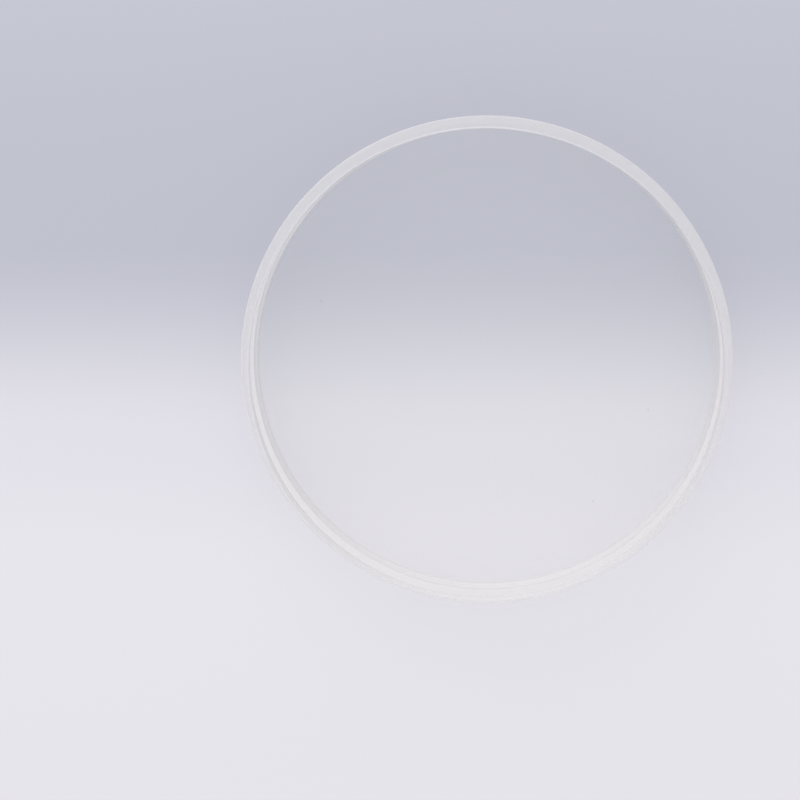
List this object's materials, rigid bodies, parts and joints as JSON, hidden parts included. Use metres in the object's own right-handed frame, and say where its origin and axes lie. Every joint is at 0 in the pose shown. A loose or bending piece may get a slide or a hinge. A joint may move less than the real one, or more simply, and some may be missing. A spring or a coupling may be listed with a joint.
{
  "type": "pmma milling block",
  "caption": "Clear acrylic milling disc for dental work: a solid round blank with polished faces, frosted turned walls and a wider collar midway for the machine's holder.",
  "frame": {"origin": "centre of the lower face, where the disc lies on a table", "axes": "+Z along the disc's axis, from the lower face to the upper face; +X and +Y lie in the lower face and are equal"},
  "size_m": [0.098, 0.098, 0.025],
  "materials": {
    "clear_pmma": "clear solid acrylic, polished upper and lower faces, finely turned frosted walls and shoulders"
  },
  "bodies": {
    "root": {"milling_disc": "clear_pmma"}
  },
  "joints": []
}
